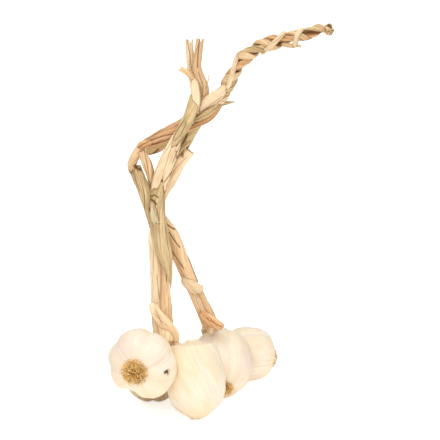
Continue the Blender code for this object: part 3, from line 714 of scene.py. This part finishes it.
def route_length(route):
    route = np.asarray(route, float)
    return float(np.linalg.norm(np.diff(route, axis=0), axis=1).sum())


def cross_frame(along):
    """The directions across the front view and into it for each row."""
    across = np.cross(along, (0.0, 1.0, 0.0))
    size = np.linalg.norm(across, axis=1, keepdims=True)
    level = np.cross(along, (0.0, 0.0, 1.0))
    across = unit(np.where(size < HEAD_ON, level, across))
    return across, unit(np.cross(across, along))


def leaf_relief(angle, run, seed, twist, length):
    """How far a rolled leaf's skin strays from an oval, as a share of its radius, and how much painted
    shade its laps, folds and flutes get.
    """
    draw = random.Random(seed + "leaf")
    turns = angle / TURN + twist * run / length + 0.03 * waver(run, seed + "drift", 130)
    relief = 0.030 * mottle(angle, run, seed + "lump", 3, 30)
    # Painted shade: the laps' edges, the folds and the flutes are darkened.
    shade_and_marks = np.zeros(relief.shape)
    for lap in range(2):
        wander = 0.012 * mottle(angle, run, f"{seed}lap{lap}", 2, 110)
        at = (turns + draw.random() + wander) % 1
        fade = 0.35 + 0.65 * ease(waver(run, f"{seed}fade{lap}", 70), -0.4, 0.3)
        relief = relief + 0.17 * (at**2 - 0.33) * fade
        shade_and_marks = np.maximum(shade_and_marks, np.exp(-((np.minimum(at, 1 - at) / 0.013) ** 2)) * fade)
    keep = ease(mottle(angle, run, seed + "keep", 3, 60), -0.5, 0.6)
    bend = 0.05 * mottle(angle, run, seed + "fold", 2, 90)
    folds = valleys(2 * turns + draw.random() + bend, 0.20) * keep
    flutes = valleys(9 * turns + 0.18 * mottle(angle, run, seed + "flute", 3, 80), 0.45)
    ribs = valleys(29 * turns + 0.30 * mottle(angle, run, seed + "rib", 5, 90), 0.5)
    relief = relief - 0.16 * folds - 0.045 * flutes - 0.018 * ribs
    shade_and_marks = np.clip(np.maximum(shade_and_marks, 0.7 * folds**2) + 0.22 * flutes**2, 0, 1)
    return relief, shade_and_marks


def surface_of(points, middle, across, deep, half_width, half_depth):
    """What painted_contact_shade() needs to know of a strand: its rows and how far out its skin lies."""
    reach = np.linalg.norm(points - middle[:, None], axis=-1)
    return middle, across, deep, half_width, half_depth, reach


def painted_contact_shade(points, others):
    """How strongly each point lies in the painted contact shade where its strand meets another one."""
    flat = points.reshape(-1, 3)
    contact_shade = np.zeros(len(flat))
    low, high = flat.min(0), flat.max(0)
    for middle, across, deep, half_width, half_depth, reach in others:
        most = reach.max() + 2 * CONTACT_SHADE_WIDTH
        if (middle.min(0) - most > high).any() or (middle.max(0) + most < low).any():
            continue
        near = np.flatnonzero(((flat > middle.min(0) - most) & (flat < middle.max(0) + most)).all(1))
        if not len(near):
            continue
        away = flat[near]
        gap = (away**2).sum(1)[:, None] - 2 * away @ middle.T + (middle**2).sum(1)[None]
        row = gap.argmin(1)
        spoke = away - middle[row]
        u = (spoke * across[row]).sum(1) / half_width[row]
        v = (spoke * deep[row]).sum(1) / half_depth[row]
        side = np.round(np.arctan2(v, u) / TURN * SIDES).astype(int) % SIDES
        outside = np.linalg.norm(spoke, axis=1) - reach[row, side]
        beyond = ((row == 0) | (row == len(middle) - 1)) & (gap.min(1) > reach[row, side] ** 2)
        strength = np.where(beyond, 0, np.clip(1 - outside / CONTACT_SHADE_WIDTH, 0, 1))
        contact_shade[near] = np.maximum(contact_shade[near], strength)
    return contact_shade.reshape(points.shape[:-1])


def pressed_marks(name, points, middle, shade_and_marks):
    """The strand's points pressed in along its marks and darkened there, on its front only, as painted
    shade in the slits and creases and as the scars' own colour.
    """
    for mark in MARKS:
        if mark.strand == name:
            front = ease(middle[:, None, 1] - points[..., 1], -0.5, 0.8)
            share = front * nearness(points, mark.line, mark.half_width)
            points = points - (points - middle[:, None]) * (share * mark.deep / MARK_DEPTH_AT)[..., None]
            shade_and_marks = np.maximum(shade_and_marks, share * mark.dark)
    return points, shade_and_marks


def rounded(left):
    """The share of its full size that a rounded end has, where left is the distance still to go."""
    return np.sqrt(np.clip(1 - (1 - left / TUCK_LENGTH).clip(0, 1) ** 2, LEAST_TUCK, 1))


def end_size(strand, run, length):
    """The share of its full size that a strand has at each row, as its ends round off or narrow."""
    size = np.ones_like(run)
    for style, left in ((strand.foot, run), (strand.top, length - run)):
        if style == "tuck":
            size = np.minimum(size, rounded(left))
        if style == "point":
            size = np.minimum(size, np.clip(left / (POINT_REACH * length), LEAST_POINT, 1) ** 0.7)
    return size


def strand_points(strand, index):
    """A strand along its route: its points, wear, grain and surface."""
    length = route_length(strand.route)
    place, middle, along, width, depth = sections(strand.route, strand.width, strand.depth, length)
    across, deep = cross_frame(along)
    run = place * length
    angle = np.arange(SIDES) * TURN / SIDES
    relief, shade_and_marks = leaf_relief(angle[None, :], run[:, None], strand.name, strand.twist, length)
    size = end_size(strand, run, length)
    half_width = width / 2 * size
    half_depth = depth / 2 * size
    cos, sin = np.cos(angle)[None, :, None], np.sin(angle)[None, :, None]
    wide = (across * half_width[:, None])[:, None]
    thick = (deep * half_depth[:, None])[:, None]
    points = middle[:, None] + (1 + relief)[..., None] * (wide * cos + thick * sin)
    surface = surface_of(points, middle, across, deep, half_width, half_depth)
    points, shade_and_marks = pressed_marks(strand.name, points, middle, shade_and_marks)
    drift = (strand.twist * run / length * TURN)[:, None]
    reach = 0.5 * (width.mean() + depth.mean()) / 2
    grain = around_axis(reach, angle[None] + drift, run[:, None] + GRAIN_SHIFT * index)
    if strand.top in OPEN_ENDS:
        skin = (points, shade_and_marks, grain)
        points, shade_and_marks, grain = open_end(strand.name, strand.top, *skin, middle[-1], along[-1])
    tint = np.clip(0.5 + 0.5 * mottle(angle[None], grain[..., 2], strand.name + "tint", 2, 55), 0, 1)
    return points, np.stack([shade_and_marks, np.full(shade_and_marks.shape, strand.tone), tint], axis=-1), grain, surface


def open_end(name, style, points, shade_and_marks, grain, centre, outward):
    """Ends a strand in a ragged rim with a hollow behind it. centre and outward are its last row's."""
    angle = np.arange(SIDES) * TURN / SIDES
    ragged = mottle(angle, 0, name + style, 9, 10)
    if style == "notched":
        push = 0.8 * ragged - 7.0 * valleys(angle / TURN + 0.75, 0.16)
        push = push - 4.0 * valleys(angle / TURN + 0.3, 0.12)
    elif style == "cut":
        push = 0.7 * ragged + 0.6 * np.cos(angle + 1)
    else:
        push = 1.8 * ragged - 1.5 * valleys(5 * angle / TURN, 0.4)
    push = np.minimum(push, HIGHEST_TATTER)
    for row in range(RIM_ROWS):
        share = (1 - row / RIM_ROWS) ** 1.5
        points[-1 - row] = points[-1 - row] + outward * push[:, None] * share
    rim = points[-1]
    inside = np.array([centre + (rim - centre) * scale - outward * sink for scale, sink in RIM_INSIDE])
    shade = np.array(RIM_SHADE)[:, None] * np.ones(SIDES)
    more = np.repeat(grain[-1:], len(RIM_INSIDE), 0)
    return np.concatenate([points, inside]), np.concatenate([shade_and_marks, shade]), np.concatenate([grain, more])


def tail_strand(strand):
    """One strand of the tail, winding round the tail's route: its points, wear, grain and surface."""
    length = route_length(TAIL_ROUTE)
    place = np.linspace(0, 1, round(length / STEP) + 1)
    run = place * length
    centre = smooth(TAIL_ROUTE, place)
    z = unit(np.gradient(centre, axis=0))
    x = unit(np.array((0.0, -1.0, 0.0)) + z * z[:, 1:2])
    y = np.cross(z, x)
    radius = smooth(TAIL_RADIUS, place)[:, 0]
    turns = np.arange(len(strand.crossings)) * strand.rate + strand.start
    angle = TURN * np.interp(run, strand.crossings, turns)
    spoke = x * np.cos(angle)[:, None] + y * np.sin(angle)[:, None]
    away = radius * strand.away * (1 + 0.10 * waver(run, strand.name + "away", 25))
    middle = centre + spoke * away[:, None]
    along = unit(np.gradient(middle, axis=0))
    spoke = unit(spoke - along * (spoke * along).sum(1, keepdims=True))
    side = np.cross(along, spoke)
    size = radius * rounded(run) * (1 + 0.20 * waver(run, strand.name + "size", 22))
    turn = np.arange(SIDES) * TURN / SIDES
    relief, shade_and_marks = leaf_relief(turn[None], run[:, None], strand.name, 0.6, 60)
    grow = (1 + TAIL_RELIEF * relief) * size[:, None]
    cos, sin = np.cos(turn)[None, :, None], np.sin(turn)[None, :, None]
    oval = side[:, None] * cos * strand.wide + spoke[:, None] * sin * strand.thick
    points = middle[:, None] + grow[..., None] * oval
    surface = surface_of(points, middle, side, spoke, size * strand.wide, size * strand.thick)
    out = np.linalg.norm(points - centre[:, None], axis=-1) / radius[:, None]
    shade_and_marks = np.clip(shade_and_marks + ease(out, strand.shade_from, strand.shade_from - TAIL_SHADE_REACH), 0, 1)
    grain = around_axis(TAIL_GRAIN_RADIUS, turn[None], run[:, None] + TAIL_GRAIN_SHIFT * strand.rate)
    points, shade_and_marks, grain = open_end(strand.name, "torn", points, shade_and_marks, grain, middle[-1], along[-1])
    tint = np.clip(0.5 + 0.5 * mottle(turn[None], grain[..., 2], strand.name + "tint", 2, 25), 0, 1)
    return points, np.stack([shade_and_marks, np.full(shade_and_marks.shape, strand.tone), tint], axis=-1), grain, surface


def make_strands(finishes):
    strands = STRANDS + SLIPS + TAIL
    shapes = [strand_points(strand, index) for index, strand in enumerate(STRANDS + SLIPS)]
    shapes += [tail_strand(strand) for strand in TAIL]
    for index, (strand, (points, wear, grain, _)) in enumerate(zip(strands, shapes)):
        others = [shape[3] for place, shape in enumerate(shapes) if place != index]
        # Painted contact shade where the strand meets the others.
        wear[..., 0] = np.maximum(wear[..., 0], CONTACT_SHADE_DARKNESS * painted_contact_shade(points, others))
        piece = skin_over(strand.name + "_leaf", points, wear, grain)
        node = strand.name if strand.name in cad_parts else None
        place_piece(piece, finishes[strand.finish], node)


# ---------------------------------------------------------------- finishes

def put(tree, kind, inputs=None, **settings):
    """Adds a node. inputs gives each socket, by name or number, a value or another node's socket."""
    node = tree.nodes.new(kind)
    for name, value in settings.items():
        setattr(node, name, value)
    for name, value in (inputs or {}).items():
        if isinstance(value, bpy.types.NodeSocket):
            tree.links.new(value, node.inputs[name])
        else:
            node.inputs[name].default_value = value
    return node


def mix(tree, share, low, high):
    if not isinstance(low, bpy.types.NodeSocket):
        low = (*low, 1.0)
    if not isinstance(high, bpy.types.NodeSocket):
        high = (*high, 1.0)
    node = put(tree, "ShaderNodeMix", {0: share, 6: low, 7: high}, data_type="RGBA")
    return node.outputs[2]


def figure(tree, how, *values):
    """A sum or a product of numbers and sockets."""
    return put(tree, "ShaderNodeMath", dict(enumerate(values)), operation=how).outputs[0]


def span(tree, value, low, high, start=0.0, end=1.0):
    """value's range from low to high, eased to start to end."""
    inputs = {"Value": value, "From Min": low, "From Max": high, "To Min": start, "To Max": end}
    return put(tree, "ShaderNodeMapRange", inputs, interpolation_type="SMOOTHSTEP").outputs[0]


def speckle(tree, place, scale, stretch=(1, 1, 1), detail=3.0):
    """Noise that is drawn out where stretch is small."""
    scaled = put(tree, "ShaderNodeVectorMath", {0: place, 1: stretch}, operation="MULTIPLY").outputs[0]
    inputs = {"Vector": scaled, "Scale": scale, "Detail": detail, "Roughness": 0.55}
    return put(tree, "ShaderNodeTexNoise", inputs).outputs["Fac"]


COLOUR, NUMBER = "NodeSocketColor", "NodeSocketFloat"


def shader_group(name, colours, number):
    """A node group that takes colours and a number and gives a finish, with its sockets inside."""
    group = bpy.data.node_groups.new(name, "ShaderNodeTree")
    for label in colours:
        group.interface.new_socket(label, in_out="INPUT", socket_type=COLOUR)
    group.interface.new_socket(number, in_out="INPUT", socket_type=NUMBER)
    for label, kind in (("Color", COLOUR), ("Height", NUMBER), ("Roughness", NUMBER)):
        group.interface.new_socket(label, in_out="OUTPUT", socket_type=kind)
    return group, group.nodes.new("NodeGroupInput").outputs, group.nodes.new("NodeGroupOutput").inputs


def read_point(tree):
    """The grain at a point, and the three numbers of its wear, which hold painted shade as well as tints.
    """
    grain = put(tree, "ShaderNodeAttribute", attribute_name="grain").outputs["Vector"]
    wear = put(tree, "ShaderNodeAttribute", attribute_name="wear").outputs["Vector"]
    return grain, *put(tree, "ShaderNodeSeparateXYZ", {0: wear}).outputs


def uneven(tree, broad, fine):
    """The height of a finish, from its broad noise and its fine noise."""
    return figure(tree, "ADD", figure(tree, "MULTIPLY", broad, 0.6), figure(tree, "MULTIPLY", fine, 0.4))


def leaf_group():
    """Dried leaf: long fibres from pale to deep, dark painted shade in creases, seams and hollow ends, dark
    scars, and grey-brown weather marks.
    """
    tree, taken, given = shader_group("dried_leaf", ("Pale", "Deep", "Dark"), "Blotches")
    pale, deep, dark, blotches = taken["Pale"], taken["Deep"], taken["Dark"], taken["Blotches"]
    grain, shade_and_marks, tone, tint = read_point(tree)
    fibre = speckle(tree, grain, 1.0, (1.1, 1.1, 0.045), 4.0)
    fine = speckle(tree, grain, 1.0, (3.6, 3.6, 0.09))
    blotch = speckle(tree, grain, 1.0, (0.16, 0.16, 0.07))
    streak = speckle(tree, grain, 1.0, (2.0, 2.0, 0.025), 2.0)
    colour = mix(tree, span(tree, fibre, 0.32, 0.68), pale, deep)
    weather = figure(tree, "ADD", blotch, figure(tree, "MULTIPLY", tint, 0.25))
    patch = figure(tree, "MULTIPLY", span(tree, weather, 0.5, 0.85), blotches)
    colour = mix(tree, patch, colour, mix(tree, 0.45, deep, dark))
    colour = mix(tree, span(tree, fine, 0.56, 0.74, 0.0, 0.35), colour, dark)
    colour = mix(tree, span(tree, streak, 0.62, 0.70, 0.0, 0.55), colour, dark)
    # Painted shade: creases, seams and hollow ends darken toward the dark colour, as do the scars.
    colour = mix(tree, span(tree, shade_and_marks, 0.20, 0.95, 0.0, 0.95), colour, dark)
    light = figure(tree, "ADD", tone, 1.0)
    colour = put(tree, "ShaderNodeHueSaturation", {"Value": light, "Color": colour}).outputs[0]
    tree.links.new(colour, given["Color"])
    tree.links.new(uneven(tree, fibre, fine), given["Height"])
    tree.links.new(span(tree, fibre, 0.3, 0.7, 0.55, 0.78), given["Roughness"])
    return tree


def skin_group():
    """Papery head skin: cream with fine veins, pink blushes, gold patches that also paint shade on the
    undersides, tan painted shade in the creases and near-black painted shade in the worm hole.
    """
    colours = ("White", "Cream", "Gold", "Blush", "Tan", "Hollow")
    tree, taken, given = shader_group("papery_skin", colours, "Veins")
    grain, shade_and_marks, gold_and_shade, blush = read_point(tree)
    veins = speckle(tree, grain, 1.0, (0.75, 0.75, 0.03))
    fine = speckle(tree, grain, 1.0, (2.4, 2.4, 0.10), 2.0)
    cloud = speckle(tree, grain, 1.0, (0.07, 0.07, 0.05))
    broad = speckle(tree, grain, 1.0, (0.22, 0.22, 0.03), 2.0)
    colour = mix(tree, span(tree, cloud, 0.35, 0.70), taken["White"], taken["Cream"])
    # The gold colour is also painted shade on the undersides.
    gold_and_shade_share = figure(tree, "MULTIPLY", gold_and_shade, span(tree, broad, 0.25, 0.65, 0.45, 1.0))
    colour = mix(tree, gold_and_shade_share, colour, taken["Gold"])
    blush_share = figure(tree, "MULTIPLY", blush, span(tree, broad, 0.3, 0.65, 0.35, 1.0))
    colour = mix(tree, blush_share, colour, taken["Blush"])
    vein_share = figure(tree, "MULTIPLY", span(tree, veins, 0.54, 0.70), taken["Veins"])
    colour = mix(tree, vein_share, colour, taken["Tan"])
    # Painted shade: the creases darken toward tan, and the worm hole toward near black.
    colour = mix(tree, span(tree, shade_and_marks, 0.1, 1.0, 0.0, 0.55), colour, taken["Tan"])
    colour = mix(tree, span(tree, shade_and_marks, 1.1, 1.6), colour, taken["Hollow"])
    tree.links.new(colour, given["Color"])
    tree.links.new(uneven(tree, veins, fine), given["Height"])
    tree.links.new(span(tree, fine, 0.3, 0.7, 0.42, 0.60), given["Roughness"])
    return tree


BUMP_DEPTH = 0.0004
LEAF_BUMP = 0.9
SKIN_BUMP = 0.5
SKIN_GLOW = 0.30


def finish_from(group, name, values, bump, glow=0.0):
    """A material whose colour, roughness and relief come from a group."""
    material = bpy.data.materials.new(name)
    material.use_nodes = True
    tree = material.node_tree
    shader = tree.nodes["Principled BSDF"]
    made = put(tree, "ShaderNodeGroup", node_tree=group)
    for label, value in values.items():
        made.inputs[label].default_value = value if isinstance(value, float) else (*value, 1.0)
    tree.links.new(made.outputs["Color"], shader.inputs["Base Color"])
    tree.links.new(made.outputs["Roughness"], shader.inputs["Roughness"])
    inputs = {"Height": made.outputs["Height"], "Strength": bump, "Distance": BUMP_DEPTH}
    relief = put(tree, "ShaderNodeBump", inputs)
    tree.links.new(relief.outputs[0], shader.inputs["Normal"])
    shader.inputs["Specular IOR Level"].default_value = 0.3
    shader.inputs["Subsurface Weight"].default_value = glow
    shader.inputs["Subsurface Radius"].default_value = (1.0, 0.6, 0.35)
    shader.inputs["Subsurface Scale"].default_value = 0.005
    return material


def root_finish():
    """Dry root hairs, dark at the plate and golden at their tips."""
    material = bpy.data.materials.new("dry_roots")
    material.use_nodes = True
    tree = material.node_tree
    shader = tree.nodes["Principled BSDF"]
    grain, inner, tone, _ = read_point(tree)
    fleck = speckle(tree, grain, 0.9)
    colour = mix(tree, span(tree, fleck, 0.35, 0.65), (1.0, 0.78, 0.46), (0.86, 0.56, 0.26))
    colour = mix(tree, span(tree, inner, 0.40, 1.0, 0.0, 0.9), colour, (0.26, 0.12, 0.04))
    light = figure(tree, "ADD", figure(tree, "MULTIPLY", tone, 0.5), 1.0)
    rich = {"Saturation": 1.25, "Value": light, "Color": colour}
    colour = put(tree, "ShaderNodeHueSaturation", rich).outputs[0]
    tree.links.new(colour, shader.inputs["Base Color"])
    shader.inputs["Roughness"].default_value = 0.8
    return material


# Each leaf's finish: its pale, deep and dark colours, and how blotched it is.
LEAVES = {
    "pale_stalk": ((0.95, 0.77, 0.53), (0.84, 0.60, 0.34), (0.26, 0.12, 0.035), 0.30),
    "stalk": ((0.92, 0.69, 0.43), (0.70, 0.44, 0.21), (0.24, 0.10, 0.03), 0.40),
    "olive_stalk": ((0.78, 0.58, 0.33), (0.50, 0.34, 0.14), (0.16, 0.08, 0.025), 0.50),
    "russet_stalk": ((0.84, 0.53, 0.29), (0.52, 0.26, 0.10), (0.22, 0.08, 0.02), 0.50),
    "green_leaf": ((0.74, 0.62, 0.40), (0.58, 0.48, 0.28), (0.22, 0.16, 0.07), 0.2),
}
PAPER = {
    "White": (0.90, 0.80, 0.65),
    "Cream": (0.87, 0.72, 0.52),
    "Gold": (0.87, 0.67, 0.38),
    "Blush": (0.80, 0.60, 0.50),
    "Tan": (0.66, 0.47, 0.28),
    # Near black: painted shade inside the worm hole.
    "Hollow": (0.10, 0.045, 0.02),
    "Veins": 0.28,
}
# The back left head shows only its shaded side, under the left head, so its paper colours are darkened and
# browned as painted shade.
PAINTED_SHADE_PAPER = {"White": (0.76, 0.64, 0.47), "Cream": (0.68, 0.53, 0.35), "Gold": (0.42, 0.28, 0.13)}


def make_finishes():
    leaf, skin = leaf_group(), skin_group()
    made = {}
    for name, (pale, deep, dark, blotches) in LEAVES.items():
        values = {"Pale": pale, "Deep": deep, "Dark": dark, "Blotches": blotches}
        made[name] = finish_from(leaf, name, values, LEAF_BUMP)
    for head in HEADS:
        values = PAPER | PAINTED_SHADE_PAPER if head.name == "head_back_left" else PAPER
        made[head.name] = finish_from(skin, head.name + "_paper", values, SKIN_BUMP, SKIN_GLOW)
    made["roots"] = root_finish()
    return made


# ---------------------------------------------------------------- the studio

FLOOR_SIDE = 30.0
FLOOR_GLOW = 0.2
FLOOR_GLOW_SEEN = 0.4  # added where the camera sees the floor itself, and not in what it lights
SKY_STRENGTH = 0.55
# Each soft light: its name, place, what it points at, side in metres and power in watts.
LIGHTS = (
    ("overhead", (-0.25, -0.35, 1.5), (0, 0, 0.15), 1.3, 13.0),
    ("front_fill", (0.2, -1.9, 0.7), (0, 0, 0.15), 1.4, 8.0),
    ("right_fill", (1.2, -1.0, 1.1), (0, 0, 0.1), 1.2, 4.0),
)
CAMERA_TARGET = (0.0, 0.003, 0.157)
CAMERA_DISTANCE = 2.2
CAMERA_ELEVATION = 17.0
FRAME_SIDE = 0.3608  # what the picture spans at the object


def make_floor():
    half = FLOOR_SIDE / 2
    mesh = bpy.data.meshes.new("studio_floor")
    corners = [(-half, -half, 0), (half, -half, 0), (half, half, 0), (-half, half, 0)]
    mesh.from_pydata(corners, [], [(0, 1, 2, 3)])
    floor = bpy.data.objects.new("studio_floor", mesh)
    bpy.context.scene.collection.objects.link(floor)
    material = bpy.data.materials.new("white_sweep")
    material.use_nodes = True
    tree = material.node_tree
    shader = tree.nodes["Principled BSDF"]
    place = put(tree, "ShaderNodeTexCoord").outputs["Object"]
    cloud = speckle(tree, place, 3.0)
    tree.links.new(mix(tree, cloud, (0.93, 0.93, 0.93), (0.95, 0.95, 0.95)), shader.inputs["Base Color"])
    shader.inputs["Roughness"].default_value = 0.9
    shader.inputs["Specular IOR Level"].default_value = 0.0
    shader.inputs["Emission Color"].default_value = (1, 1, 1, 1)
    seen = put(tree, "ShaderNodeLightPath").outputs["Is Camera Ray"]
    glow = figure(tree, "MULTIPLY_ADD", seen, FLOOR_GLOW_SEEN, FLOOR_GLOW)
    tree.links.new(glow, shader.inputs["Emission Strength"])
    mesh.materials.append(material)


def make_lights():
    world = bpy.data.worlds.new("studio")
    bpy.context.scene.world = world
    world.use_nodes = True
    sky = world.node_tree.nodes["Background"]
    sky.inputs["Color"].default_value = (1.0, 1.0, 1.0, 1.0)
    sky.inputs["Strength"].default_value = SKY_STRENGTH
    for light in LIGHTS:
        soft_light(*light)


def soft_light(name, place, target, side, power):
    light = bpy.data.lights.new(name, "AREA")
    light.shape = "SQUARE"
    light.size = side
    light.energy = power
    lamp = bpy.data.objects.new(name, light)
    matrix = np.eye(4)
    matrix[:3, :3] = frame_along(np.array(place) - np.array(target), (1.0, 0.001, 0.0))
    matrix[:3, 3] = place
    lamp.matrix_world = matrix.T.tolist()
    lamp.visible_camera = False
    bpy.context.scene.collection.objects.link(lamp)


def make_camera():
    data = bpy.data.cameras.new("camera")
    data.sensor_width = 36.0
    data.lens = data.sensor_width * CAMERA_DISTANCE / FRAME_SIDE
    camera = bpy.data.objects.new("camera", data)
    tilt = math.radians(CAMERA_ELEVATION)
    back = np.array((0.0, -math.cos(tilt), math.sin(tilt)))
    camera.location = np.array(CAMERA_TARGET) + back * CAMERA_DISTANCE
    camera.rotation_euler = (math.pi / 2 - tilt, 0.0, 0.0)
    bpy.context.scene.collection.objects.link(camera)
    bpy.context.scene.camera = camera


finishes = make_finishes()
make_heads(finishes)
make_tufts(finishes["roots"])
make_root_tip(finishes["roots"])
make_strands(finishes)
make_floor()
make_lights()
make_camera()
bpy.context.scene.view_settings.view_transform = "Standard"
bpy.context.view_layer.update()
